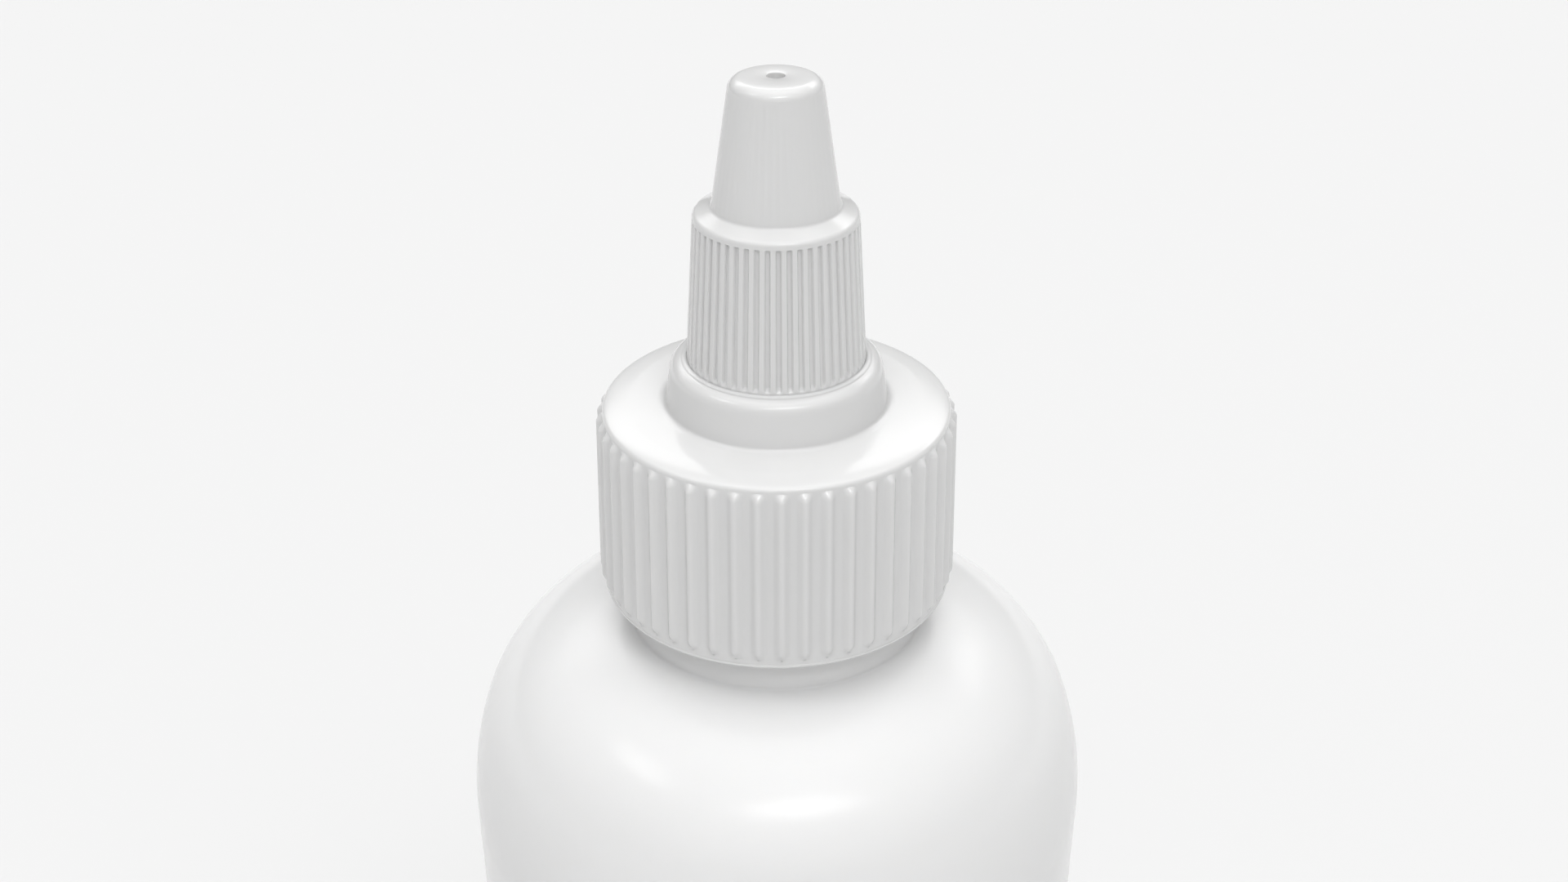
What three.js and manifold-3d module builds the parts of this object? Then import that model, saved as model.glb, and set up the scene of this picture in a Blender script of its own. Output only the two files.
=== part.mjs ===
// A plastic squeeze bottle with a 24-410 neck and a two-piece twist-open dispensing closure.
//
// Five pieces on one upright axis: the blow-moulded bottle, the sealing liner, the ribbed closure
// base that screws on the neck, the seal ring, and the fluted spout that screws up its tower.
// Millimetres, +Z up, origin at the centre of the standing ring. Everything is shown closed.
import * as THREE from 'three';
import { mergeVertices } from 'three/addons/utils/BufferGeometryUtils.js';
import Module from 'manifold-3d';

const wasm = await Module();
wasm.setup();

// ---------------------------------------------------------------- driving dimensions

// Fits. A thread runs in its mate with THREAD_GAP between crest and root, and SEAL_GAP is the
// slack left round the two soft seals, which are pressed flat on the real object.
const THREAD_GAP = 0.33;
const SPOUT_THREAD_GAP = 0.3;
const SEAL_GAP = 0.1;
const EMBED = 0.4; // how far a ridge is sunk into the wall that carries it
const RUN_OUT = 0.08; // turns over which a thread's ridge fades in and out
const CHAMFER = 0.3; // on the edges of bores and of the tower
const ROUND_EDGE = 0.4; // on the thicker edges
const HAIR_EDGE = 0.12; // on the thin lower edges of the skirt and the grip

// Bottle
const BOTTLE_HEIGHT = 160;
const BOTTLE_SEGMENTS = 48;
const FINISH_HEIGHT = 16.6; // the sealing land above the shoulder
const NECK_ROOT = 10.72; // radius under the thread
const NECK_THREAD = 11.86; // radius over the thread, and over the collar below it
const NECK_BORE = 9.2;
const COLLAR_HEIGHT = 3;
const SHOULDER_RADIUS = 13.4; // the round of the dome
const HAUNCH_RADIUS = 24.6; // the flatter round that leads into the wall
const SHOULDER_START = 1.25; // slope of the dome where it leaves the neck, degrees
const SHOULDER_END = 71.5; // slope of the dome where the haunch takes over, degrees
const BODY_TAPER = 0.6; // the wall draws in towards the base, degrees
const BOTTLE_WALL = 1.1;
const HEEL_RADIUS = 3.5;
const RING_WIDTH = 2.5; // flat standing ring
const PUSH_UP = 3; // height of the dome under the base
const PUSH_UP_SPREAD = 0.6; // share of the dome's radius where it is almost level
const COLLAR_SLOPE = 0.2; // rise of the collar's top towards the neck

// Thread between bottle and closure: right-handed, one start
const NECK_PITCH = 3.175;
const NECK_TURNS = 1.5;
const CLOSURE_TURNS = 2;
const TURNS_BELOW = 0.9; // how far the closure's thread reaches below the bottle's own
const RIDGE_BASE = 1.9;
const RIDGE_CREST = 0.8;
const RIDGE_SEGMENTS = 25; // steps in each turn of every thread
const NECK_THREAD_DROP = 1.97; // from the land down to the centre of the thread's upper end

// Closure base, heights above the skirt's lower edge
const RIB_COUNT = 50; // ribs on the skirt, and flutes on the spout
const SKIRT_LIFT = 3.37; // the skirt's lower edge above the shoulder
const SKIRT_BOTTOM = 13.7;
const SKIRT_TOP = 13.42;
const SKIRT_HEIGHT = 15.05;
const RIB_WIDTH = 0.9;
const RIB_PROUD = 0.43;
const RIB_LOW = 0.75;
const RIB_HIGH = 15.1;
const RIB_END = 0.55;
const DECK_EDGE = 0.6;
const BOSS_FOOT = 8.5;
const BOSS_RIM = 8.05;
const BOSS_FILLET = 0.35;
const BOSS_EDGE = 0.45;
const BOSS_TOP = 19;
const DECK_INNER = 15.95; // the deck's height at the foot of the boss
const DECK_UNDERSIDE = 14.43;
const BOSS_HOLLOW = 6.9;
const BOSS_ROOF = 17.8;

// Liner
const LINER_THICKNESS = 1;
const LINER_OUTER = 11.9;

// Tower and sealing pin, heights above the skirt's lower edge
const TOWER_ROOT = 4;
const TOWER_THREAD = 4.75;
const TOWER_BARREL = 3.8;
const TOWER_BORE = 3;
const TOWER_STEP = 25.3;
const TOWER_TOP = 30.8;
const SPIDER_HEIGHT = 1.6;
const SPOKE_COUNT = 3;
const SPOKE_WIDTH = 1;
const PIN_RADIUS = 1.3;
const PIN_TIP_RADIUS = 0.4;

// Spout, heights above its foot
const SPOUT_GAP = 0.3; // between the foot and the top of the boss
const SPOUT_HEIGHT = 21.9;
const GRIP_FOOT = 6.82;
const GRIP_TAPER = 3.31; // degrees
const GRIP_HEIGHT = 11.35;
const GRIP_EDGE = 0.45;
const SPOUT_SHOULDER_SLOPE = 22; // degrees
const CONE_FOOT_HEIGHT = 12.2;
const CONE_FOOT = 4.76;
const CONE_TAPER = 8.28; // degrees
const TIP_EDGE = 0.92;
const TIP_CROWN = 0.09;
const ORIFICE = 0.66;
const ORIFICE_DEPTH = 1.3;
const SEAT_RADIUS = 2.2;
const SEAT_DEPTH = 1.6;
const NOSE_BORE = 3.55;
const BARREL_BORE = 4.1;
const FLUTE_WIDTH = 0.42;
const FLUTE_DEPTH = 0.2;
const FLUTE_LOW = 0.15;
const FLUTE_HIGH = 11.4;
const FLUTE_RAMP = 0.55;
const BARREL_SHOULDER = 0.6; // from the foot of the cone down to where the nose bore has widened
const GLAND_GRIP = 0.35; // how far the lip under the ring reaches in

// Thread between tower and spout: right-handed, two starts
const SPOUT_LEAD = 4.8;
const SPOUT_STARTS = 2;
const SPOUT_RIDGE_BASE = 1.1;
const SPOUT_RIDGE_CREST = 0.6;
const SPOUT_RIDGE_TURNS = 0.83;
const TOWER_THREAD_LOW = 20.3;

// Seal ring, height above the spout's foot
const RING_SECTION = 1.2;
const RING_HEIGHT = 7.2;
const RING_SECTION_SIDES = 8;
const GLAND_LIP = 0.5;

// ---------------------------------------------------------------- values that follow

const LAND_Z = BOTTLE_HEIGHT;
const SHOULDER_Z = LAND_Z - FINISH_HEIGHT;
const SKIRT_Z = SHOULDER_Z + SKIRT_LIFT;
const LAND_IN_CLOSURE = LAND_Z - SKIRT_Z;
const SPOUT_FOOT = BOSS_TOP + SPOUT_GAP; // in the closure's heights
const SKIRT_BORE = NECK_THREAD + THREAD_GAP;
const CLOSURE_THREAD = NECK_ROOT + THREAD_GAP;
const SPOUT_BORE = TOWER_THREAD + SPOUT_THREAD_GAP;
const SPOUT_THREAD = TOWER_ROOT + SPOUT_THREAD_GAP;
const RING_CENTRE = TOWER_BARREL + SEAL_GAP + RING_SECTION / 2;
const RING_GLAND = RING_CENTRE + RING_SECTION / 2 + SEAL_GAP;
const NECK_THREAD_LOW = LAND_Z - NECK_THREAD_DROP - NECK_TURNS * NECK_PITCH;

// ---------------------------------------------------------------- geometry helpers

const radians = THREE.MathUtils.degToRad;
const at = (radius, height) => new THREE.Vector2(radius, height);

/** A point at an angle in degrees round the axis, counted from -Y towards +X. */
function polar(radius, angle, height) {
  return new THREE.Vector3(radius * Math.sin(radians(angle)), -radius * Math.cos(radians(angle)), height);
}

/** Outline points along an arc, with angles in degrees from the radial direction. */
function arc(centre, radius, from, to, steps) {
  return Array.from({ length: steps + 1 }, (_, i) => {
    const angle = radians(THREE.MathUtils.lerp(from, to, i / steps));
    return at(centre.x + radius * Math.cos(angle), centre.y + radius * Math.sin(angle));
  });
}

/** Outline points along a curve from one point to another that heads for a third. */
function bend(start, towards, end, steps) {
  return new THREE.QuadraticBezierCurve(start, towards, end).getPoints(steps);
}

/** The solid that an outline sweeps round the +Z axis. */
function revolve(outline, segments) {
  return solid(new THREE.LatheGeometry(outline, segments).rotateX(Math.PI / 2));
}

/** A closed solid through matching convex rings of points, capped at both ends. */
function loft(rings) {
  const count = rings[0].length;
  const last = (rings.length - 1) * count;
  const index = [];
  for (let base = 0; base < last; base += count) {
    for (let i = 0; i < count; i += 1) {
      const next = (i + 1) % count;
      index.push(base + i, base + next, base + count + next);
      index.push(base + i, base + count + next, base + count + i);
    }
  }
  for (let i = 1; i < count - 1; i += 1) {
    index.push(0, i + 1, i);
    index.push(last, last + i, last + i + 1);
  }
  const geometry = new THREE.BufferGeometry().setFromPoints(rings.flat());
  geometry.setIndex(index);
  return solid(geometry);
}

/** A closed geometry as a solid that can be joined and cut. */
function solid(geometry) {
  const bare = geometry.clone();
  bare.deleteAttribute('normal');
  bare.deleteAttribute('uv');
  const merged = mergeVertices(bare);
  const corners = Array.from(merged.index.array);
  const triangles = [];
  for (let i = 0; i < corners.length; i += 3) {
    const [a, b, c] = corners.slice(i, i + 3);
    if (a !== b && b !== c && c !== a) triangles.push(a, b, c);
  }
  return new wasm.Manifold(new wasm.Mesh({
    numProp: 3,
    vertProperties: new Float32Array(merged.attributes.position.array),
    triVerts: new Uint32Array(triangles),
  }));
}

/** A named mesh of a solid, in one material. */
function mesh(name, body, material) {
  const { vertProperties, triVerts } = body.getMesh();
  const geometry = new THREE.BufferGeometry();
  geometry.setAttribute('position', new THREE.BufferAttribute(vertProperties, 3));
  geometry.setIndex(new THREE.BufferAttribute(triVerts, 1));
  geometry.computeVertexNormals();
  const result = new THREE.Mesh(geometry, material);
  result.name = name;
  return result;
}

const join = (solids) => solids.reduce((whole, piece) => whole.add(piece));

/**
 * A helical ridge of trapezium section, right-handed, climbing from `low` over `turns`. It is sunk
 * into the wall at `wall`, stands to `crest`, inwards or outwards, and fades out at both ends.
 */
function ridge({ wall, crest, low, angle, lead, turns, base, top }) {
  const outward = Math.sign(crest - wall);
  const root = wall - outward * EMBED;
  const steps = Math.round(turns * RIDGE_SEGMENTS);
  const rings = [];
  for (let i = 0; i <= steps; i += 1) {
    const turn = (i / steps) * turns;
    const fade = Math.min(1, turn / RUN_OUT, (turns - turn) / RUN_OUT);
    const height = low + lead * turn;
    const crestHere = THREE.MathUtils.lerp(root + (outward * EMBED) / 2, crest, fade);
    const section = [
      [root, height - base / 2],
      [root, height + base / 2],
      [crestHere, height + top / 2],
      [crestHere, height - top / 2],
    ];
    if (outward < 0) section.reverse();
    rings.push(section.map(([radius, z]) => polar(radius, angle + 360 * turn, z)));
  }
  return loft(rings);
}

/** One bar along a tapering wall, standing out of it, or cut into it where `proud` is negative. */
function bar({ angle, low, high, wallAt, width, proud, lowEnd, highEnd }) {
  const SLIM = 0.35; // share of the width left at each end
  const CROWN = 0.45; // share of the width along the crest
  const SKIN = 0.05; // how far each end is sunk
  const stations = [[low, 0], [low + lowEnd, 1], [high - highEnd, 1], [high, 0]];
  return loft(stations.map(([z, full]) => {
    const wall = wallAt(z);
    const half = (width / 2) * THREE.MathUtils.lerp(SLIM, 1, full);
    const sunk = wall - Math.sign(proud) * EMBED;
    const crest = wall + (full ? proud : -Math.sign(proud) * SKIN);
    const turn = (offset, radius) => angle + THREE.MathUtils.radToDeg(offset / radius);
    const ring = [
      polar(sunk, turn(-half, sunk), z),
      polar(crest, turn(-half * CROWN, crest), z),
      polar(crest, turn(half * CROWN, crest), z),
      polar(sunk, turn(half, sunk), z),
    ];
    return proud < 0 ? ring.reverse() : ring;
  }));
}

/** Bars at every pitch round the axis. */
function bars(options) {
  return Array.from({ length: RIB_COUNT }, (_, i) => bar({ ...options, angle: (360 * i) / RIB_COUNT }));
}

// ---------------------------------------------------------------- the pieces

/** Blow-moulded body, dome shoulder and threaded neck, hollow and open at the mouth. */
function bottle() {
  const dome = at(
    NECK_THREAD - SHOULDER_RADIUS * Math.sin(radians(SHOULDER_START)),
    SHOULDER_Z - SHOULDER_RADIUS * Math.cos(radians(SHOULDER_START)),
  );
  const difference = SHOULDER_RADIUS - HAUNCH_RADIUS;
  const haunch = at(
    dome.x + difference * Math.sin(radians(SHOULDER_END)),
    dome.y + difference * Math.cos(radians(SHOULDER_END)),
  );
  const wallRadius = (z) => haunch.x + HAUNCH_RADIUS - (haunch.y - z) * Math.tan(radians(BODY_TAPER));
  const heel = at(wallRadius(HEEL_RADIUS) - HEEL_RADIUS, HEEL_RADIUS);
  const ringInner = heel.x - RING_WIDTH;
  const domeFrom = 90 - SHOULDER_END;
  const domeTo = 90 - SHOULDER_START;
  const innerHeel = HEEL_RADIUS - BOTTLE_WALL;
  const collarTop = SHOULDER_Z + COLLAR_HEIGHT;
  const innerDome = arc(dome, SHOULDER_RADIUS - BOTTLE_WALL, domeFrom, 84, 5);
  const outline = [
    ...bend(at(0, PUSH_UP), at(ringInner * PUSH_UP_SPREAD, PUSH_UP), at(ringInner, 0), 3),
    ...arc(heel, HEEL_RADIUS, -90, -BODY_TAPER, 4),
    ...arc(haunch, HAUNCH_RADIUS, -BODY_TAPER, domeFrom, 3),
    ...arc(dome, SHOULDER_RADIUS, domeFrom, domeTo, 8).slice(1),
    at(NECK_THREAD, collarTop - ROUND_EDGE),
    at(NECK_THREAD - ROUND_EDGE, collarTop),
    at(NECK_ROOT, collarTop + COLLAR_SLOPE),
    at(NECK_ROOT, LAND_Z - ROUND_EDGE),
    at(NECK_ROOT - ROUND_EDGE, LAND_Z),
    at(NECK_BORE + CHAMFER, LAND_Z),
    at(NECK_BORE, LAND_Z - CHAMFER),
    ...bend(at(NECK_BORE, SHOULDER_Z + COLLAR_HEIGHT / 2), at(NECK_BORE, SHOULDER_Z - BOTTLE_WALL),
      innerDome.at(-1), 3),
    ...innerDome.reverse().slice(1),
    ...arc(haunch, HAUNCH_RADIUS - BOTTLE_WALL, domeFrom, -BODY_TAPER, 2).slice(1),
    ...arc(heel, innerHeel, -BODY_TAPER, -80, 3),
    ...bend(at(ringInner, BOTTLE_WALL), at(ringInner * PUSH_UP_SPREAD, PUSH_UP + BOTTLE_WALL),
      at(0, PUSH_UP + BOTTLE_WALL), 3),
  ];
  const thread = ridge({
    wall: NECK_ROOT,
    crest: NECK_THREAD,
    low: NECK_THREAD_LOW,
    angle: 0,
    lead: NECK_PITCH,
    turns: NECK_TURNS,
    base: RIDGE_BASE,
    top: RIDGE_CREST,
  });
  return revolve(outline, BOTTLE_SEGMENTS).add(thread);
}

/** Flat gasket between the sealing land and the deck. */
function liner() {
  const outline = [
    at(NECK_BORE, 0),
    at(LINER_OUTER, 0),
    at(LINER_OUTER, LINER_THICKNESS),
    at(NECK_BORE, LINER_THICKNESS),
    at(NECK_BORE, 0),
  ];
  return revolve(outline, RIB_COUNT);
}

/** Ribbed skirt, deck, boss and tower, with both threads and the sealing pin. */
function closureBase() {
  const skirtAt = (z) => THREE.MathUtils.lerp(SKIRT_BOTTOM, SKIRT_TOP, z / SKIRT_HEIGHT);
  const edge = at(SKIRT_TOP - DECK_EDGE, SKIRT_HEIGHT);
  const rim = at(BOSS_RIM - BOSS_EDGE, BOSS_TOP - BOSS_EDGE);
  const outline = [
    at(SKIRT_BORE + CHAMFER, 0),
    at(SKIRT_BOTTOM - HAIR_EDGE, 0),
    at(SKIRT_BOTTOM, HAIR_EDGE),
    ...arc(edge, DECK_EDGE, 0, 85, 4),
    at(BOSS_FOOT + BOSS_FILLET, DECK_INNER),
    at(BOSS_FOOT, DECK_INNER + BOSS_FILLET),
    ...arc(rim, BOSS_EDGE, 0, 90, 3),
    at(TOWER_ROOT, BOSS_TOP),
    at(TOWER_ROOT, TOWER_STEP),
    at(TOWER_BARREL, TOWER_STEP + TOWER_ROOT - TOWER_BARREL),
    at(TOWER_BARREL, TOWER_TOP - CHAMFER),
    at(TOWER_BARREL - CHAMFER, TOWER_TOP),
    at(TOWER_BORE, TOWER_TOP),
    at(TOWER_BORE, BOSS_ROOF),
    at(BOSS_HOLLOW - ROUND_EDGE, BOSS_ROOF),
    at(BOSS_HOLLOW, BOSS_ROOF - ROUND_EDGE),
    at(BOSS_HOLLOW, DECK_UNDERSIDE),
    at(SKIRT_BORE, DECK_UNDERSIDE),
    at(SKIRT_BORE, CHAMFER),
    at(SKIRT_BORE + CHAMFER, 0),
  ];
  const ribs = bars({
    low: RIB_LOW,
    high: RIB_HIGH,
    wallAt: skirtAt,
    width: RIB_WIDTH,
    proud: RIB_PROUD,
    lowEnd: RIB_END,
    highEnd: RIB_END,
  });
  return join([revolve(outline, RIB_COUNT), ...ribs, neckThread(), ...towerThread(), pin(), ...spokes()]);
}

/** The ridge inside the skirt, half a pitch above the bottle's. */
function neckThread() {
  const low = NECK_THREAD_LOW - SKIRT_Z + NECK_PITCH / 2;
  return ridge({
    wall: SKIRT_BORE,
    crest: CLOSURE_THREAD,
    low: low - TURNS_BELOW * NECK_PITCH,
    angle: -360 * TURNS_BELOW,
    lead: NECK_PITCH,
    turns: CLOSURE_TURNS,
    base: RIDGE_BASE,
    top: RIDGE_CREST,
  });
}

/** The two ridges on the outside of the tower. */
function towerThread() {
  return spoutRidges(TOWER_ROOT, TOWER_THREAD, TOWER_THREAD_LOW);
}

/** Both starts of the spout's thread, on the tower or inside the spout. */
function spoutRidges(wall, crest, low) {
  return Array.from({ length: SPOUT_STARTS }, (_, start) => ridge({
    wall,
    crest,
    low,
    angle: (360 * start) / SPOUT_STARTS,
    lead: SPOUT_LEAD,
    turns: SPOUT_RIDGE_TURNS,
    base: SPOUT_RIDGE_BASE,
    top: SPOUT_RIDGE_CREST,
  }));
}

/** The pin that stops the orifice, on its hub in the mouth of the tower. */
function pin() {
  const slope = (SEAT_RADIUS - ORIFICE) / SEAT_DEPTH;
  const seatTop = SPOUT_FOOT + SPOUT_HEIGHT - ORIFICE_DEPTH;
  const clearance = THREAD_GAP * Math.hypot(1, slope);
  const coneHeight = (radius) => seatTop - (radius - ORIFICE + clearance) / slope;
  const outline = [
    at(0, TOWER_TOP - SPIDER_HEIGHT),
    at(PIN_RADIUS, TOWER_TOP - SPIDER_HEIGHT),
    at(PIN_RADIUS, coneHeight(PIN_RADIUS)),
    at(PIN_TIP_RADIUS, coneHeight(PIN_TIP_RADIUS)),
    at(0, coneHeight(PIN_TIP_RADIUS)),
  ];
  return revolve(outline, RIB_COUNT / 2);
}

/** The spokes between the hub and the tower, with a flow window between each two. */
function spokes() {
  const inner = PIN_RADIUS / 2;
  const outer = TOWER_BORE + EMBED;
  return Array.from({ length: SPOKE_COUNT }, (_, i) => {
    const spoke = new THREE.BoxGeometry(SPOKE_WIDTH, outer - inner, SPIDER_HEIGHT);
    spoke.translate(0, (inner + outer) / 2, TOWER_TOP - SPIDER_HEIGHT / 2);
    return solid(spoke.rotateZ((2 * Math.PI * i) / SPOKE_COUNT));
  });
}

/** Soft ring in the spout's gland, round the barrel of the tower. */
function sealRing() {
  const section = arc(at(RING_CENTRE, 0), RING_SECTION / 2, 0, 360, RING_SECTION_SIDES);
  section[RING_SECTION_SIDES].copy(section[0]);
  return revolve(section, RIB_COUNT);
}

/** Fluted grip and nose cone, with the orifice, the pin's seat, the gland and the thread. */
function spout() {
  const gripAt = (z) => GRIP_FOOT - z * Math.tan(radians(GRIP_TAPER));
  const coneAt = (z) => CONE_FOOT - (z - CONE_FOOT_HEIGHT) * Math.tan(radians(CONE_TAPER));
  const tipHeight = SPOUT_HEIGHT - TIP_CROWN - TIP_EDGE;
  const tip = at(coneAt(tipHeight) - TIP_EDGE / Math.cos(radians(CONE_TAPER)), tipHeight);
  const shoulder = at(gripAt(GRIP_HEIGHT) - GRIP_EDGE, GRIP_HEIGHT);
  const seatTop = SPOUT_HEIGHT - ORIFICE_DEPTH;
  const glandLow = RING_HEIGHT - RING_SECTION / 2 - SEAL_GAP;
  const glandHigh = RING_HEIGHT + RING_SECTION / 2 + SEAL_GAP;
  const outline = [
    at(SPOUT_BORE + CHAMFER, 0),
    at(GRIP_FOOT - HAIR_EDGE, 0),
    at(GRIP_FOOT, HAIR_EDGE),
    ...arc(shoulder, GRIP_EDGE, GRIP_TAPER, 90 - SPOUT_SHOULDER_SLOPE, 3),
    at(CONE_FOOT, CONE_FOOT_HEIGHT),
    ...arc(tip, TIP_EDGE, CONE_TAPER, 88, 5),
    at(ORIFICE + HAIR_EDGE / 2, SPOUT_HEIGHT),
    at(ORIFICE, SPOUT_HEIGHT - HAIR_EDGE / 2),
    at(ORIFICE, seatTop),
    at(SEAT_RADIUS, seatTop - SEAT_DEPTH),
    at(NOSE_BORE, CONE_FOOT_HEIGHT),
    at(BARREL_BORE, CONE_FOOT_HEIGHT - BARREL_SHOULDER),
    at(BARREL_BORE, glandHigh),
    at(RING_GLAND, glandHigh),
    at(RING_GLAND, glandLow),
    at(RING_GLAND - GLAND_GRIP, glandLow),
    at(RING_GLAND - GLAND_GRIP, glandLow - GLAND_LIP),
    at(SPOUT_BORE, glandLow - GLAND_LIP - CHAMFER),
    at(SPOUT_BORE, CHAMFER),
    at(SPOUT_BORE + CHAMFER, 0),
  ];
  const flutes = bars({
    low: FLUTE_LOW,
    high: FLUTE_HIGH,
    wallAt: gripAt,
    width: FLUTE_WIDTH,
    proud: -FLUTE_DEPTH,
    lowEnd: FLUTE_RAMP,
    highEnd: FLUTE_WIDTH / 2,
  });
  const half = SPOUT_LEAD / SPOUT_STARTS / 2; // half the spacing of the tower's two ridges
  const ridges = spoutRidges(SPOUT_BORE, SPOUT_THREAD, TOWER_THREAD_LOW + half - SPOUT_FOOT);
  return join([revolve(outline, RIB_COUNT), ...ridges]).subtract(join(flutes));
}

// ---------------------------------------------------------------- materials and assembly

const plastic = (color, roughness) => new THREE.MeshStandardMaterial({ color, roughness, metalness: 0 });
const bottleWhite = plastic(0xf4f4f3, 0.32);
const closureWhite = plastic(0xefefef, 0.28);
const foamWhite = plastic(0xf7f6f2, 0.85);
const sealGrey = plastic(0xd9d9d6, 0.6);

const spoutPiece = mesh('spout', spout(), closureWhite);
const ringPiece = mesh('seal_ring', sealRing(), sealGrey);
ringPiece.position.z = RING_HEIGHT;

const spoutGroup = new THREE.Group();
spoutGroup.position.z = SPOUT_FOOT;
spoutGroup.add(spoutPiece, ringPiece);

const linerPiece = mesh('liner', liner(), foamWhite);
linerPiece.position.z = LAND_IN_CLOSURE + SEAL_GAP;

const closureGroup = new THREE.Group();
closureGroup.position.z = SKIRT_Z;
closureGroup.add(mesh('closure_base', closureBase(), closureWhite), linerPiece, spoutGroup);

const dispensingBottle = new THREE.Group();
dispensingBottle.add(mesh('bottle', bottle(), bottleWhite), closureGroup);

export default dispensingBottle;
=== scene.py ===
"""The looks of a white squeeze bottle with a 24-410 neck and a two-piece twist-open closure.

Lengths in this script are millimetres; they become metres where a mesh is made. Heights are the
frame's own. Every piece is one mesh on the axis of the bottle, and rides on its own CAD body.
"""

import math

import bmesh
import bpy
from mathutils import Matrix, Vector

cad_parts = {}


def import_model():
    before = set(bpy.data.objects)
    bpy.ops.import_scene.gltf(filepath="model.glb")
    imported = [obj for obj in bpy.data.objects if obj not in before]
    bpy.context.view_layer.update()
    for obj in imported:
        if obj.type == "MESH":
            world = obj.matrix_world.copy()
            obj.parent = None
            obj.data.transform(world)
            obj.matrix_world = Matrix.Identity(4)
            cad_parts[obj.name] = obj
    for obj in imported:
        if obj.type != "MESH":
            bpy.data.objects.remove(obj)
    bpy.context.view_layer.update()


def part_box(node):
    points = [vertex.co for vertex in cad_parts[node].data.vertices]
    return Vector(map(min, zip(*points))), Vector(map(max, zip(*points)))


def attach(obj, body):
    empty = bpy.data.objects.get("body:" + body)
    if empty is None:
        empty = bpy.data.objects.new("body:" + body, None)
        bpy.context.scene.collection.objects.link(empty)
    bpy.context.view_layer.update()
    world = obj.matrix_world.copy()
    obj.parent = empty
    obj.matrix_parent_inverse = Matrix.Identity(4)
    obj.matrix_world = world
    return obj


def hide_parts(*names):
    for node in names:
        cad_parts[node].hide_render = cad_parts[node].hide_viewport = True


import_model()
MM = 0.001


def box_mm(node):
    """Lowest and highest corner of a CAD node, in millimetres."""
    low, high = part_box(node)
    return low / MM, high / MM


# ---------------------------------------------------------------- sizes taken from the frame

_, bottle_high = box_mm("bottle")
closure_low, closure_high = box_mm("closure_base")
liner_low, liner_high = box_mm("liner")
ring_low, ring_high = box_mm("seal_ring")
spout_low, spout_high = box_mm("spout")

LAND_Z = bottle_high.z  # the sealing land at the mouth of the bottle
SKIRT_Z = closure_low.z  # the lower edge of the closure's skirt
SPOUT_Z = spout_low.z
SPOUT_TOP_Z = spout_high.z
RIB_COUNT = 50  # ribs on the skirt, and flutes on the spout
PITCH = 2 * math.pi / RIB_COUNT
GRIP_FOOT = spout_high.x / math.cos(PITCH / 2)

# ---------------------------------------------------------------- sizes of the bottle

NECK_HEIGHT = 16.6
SHOULDER_Z = LAND_Z - NECK_HEIGHT
NECK_ROOT = 10.72  # radius under the thread
NECK_THREAD = 11.86  # radius over the thread, and over the collar below it
NECK_BORE = 9.2
NECK_FILLET = 0.25  # where the collar meets the shoulder
COLLAR_HEIGHT = 3
COLLAR_SLOPE = 0.2  # rise of the collar's top towards the neck
SHOULDER_RADIUS = 13.4
HAUNCH_RADIUS = 24.6
SHOULDER_START = 1.25  # slopes in degrees
SHOULDER_END = 71.5
BODY_TAPER = 0.6
BOTTLE_WALL = 1.1
HEEL_RADIUS = 3.5
DOME_INSIDE_END = 84  # where the dome's inside turns up into the bore, in degrees
HEEL_INSIDE_END = -80  # where the heel's inside meets the floor of the bottle
RING_WIDTH = 2.5
PUSH_UP = 3  # height of the dome under the base
PUSH_UP_SPREAD = 0.6  # share of the dome's radius where it is almost level
NECK_PITCH = 3.175
NECK_TURNS = 1.5
NECK_THREAD_DROP = 1.97  # from the land down to the upper end of the thread
NECK_THREAD_LOW = LAND_Z - NECK_THREAD_DROP - NECK_TURNS * NECK_PITCH
THREAD_GAP = 0.33
NECK_RIDGE = (1.9, 0.8)  # widths of the thread's ridge at its foot and at its crest
EMBED = 0.4  # how far a ridge is sunk into the wall that carries it
RUN_OUT = 0.08  # turns over which a ridge fades in and out
RIDGE_SOFTNESS = 0.25  # share of a ridge's height that its rounded crest takes
RIDGE_BEVEL = 0.1  # half the width of that rounding
CHAMFER = 0.3  # on the edges of bores and of the tower
ROUND_EDGE = 0.4  # on the thicker edges
LINER_EDGE = 0.12

# ---------------------------------------------------------------- sizes of the closure base

SKIRT_HEIGHT = 15.05
SKIRT_BOTTOM = 13.7
SKIRT_TOP = 13.42
SKIRT_BORE = NECK_THREAD + THREAD_GAP
CLOSURE_TURNS = 2
TURNS_BELOW = 0.9  # how far the closure's thread reaches below the bottle's own
RIB_SHARE = 0.79  # share of the pitch that a rib's rounded profile takes
RIB_PROUD = 0.45
RIB_LOW = 0.6  # where the ribs start to stand out, above the skirt's lower edge
RIB_HIGH = 14.92
RIB_FOOT_RAMP = 0.95  # height over which a rib rises at its foot
RIB_FOOT_SOFTNESS = 1.5  # above 1, so that the rise starts gently
RIB_TOP_RAMP = 0.66  # height over which a rib falls back at its top
RIB_RINGS = [4.5, 8, 11.5]  # heights of the mesh rings along the straight part of the ribs
HAIR_EDGE = 0.15  # rounding of the thin lower edges
LIP = 0.04  # how far the skirt's lower edge is rolled out
BEAD = 0.11  # radius of the moulded bead at the foot of each rib
BEAD_RISE = 0.66  # height of its centre above the skirt's lower edge
DECK_EDGE = 0.4  # rounding of the deck's outer edge
DECK_EDGE_Z = SKIRT_Z + 14.96  # where that rounding starts
DECK_SLOPE = 22  # degrees that the deck falls away at its edge
DECK_FALL = 0.45  # how far in that slope carries before the deck levels out
DECK_LEVEL = 11.3  # radius out to which the deck is almost level
DECK_Z = SKIRT_Z + 15.62  # where the wall of the boss would meet the deck
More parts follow.
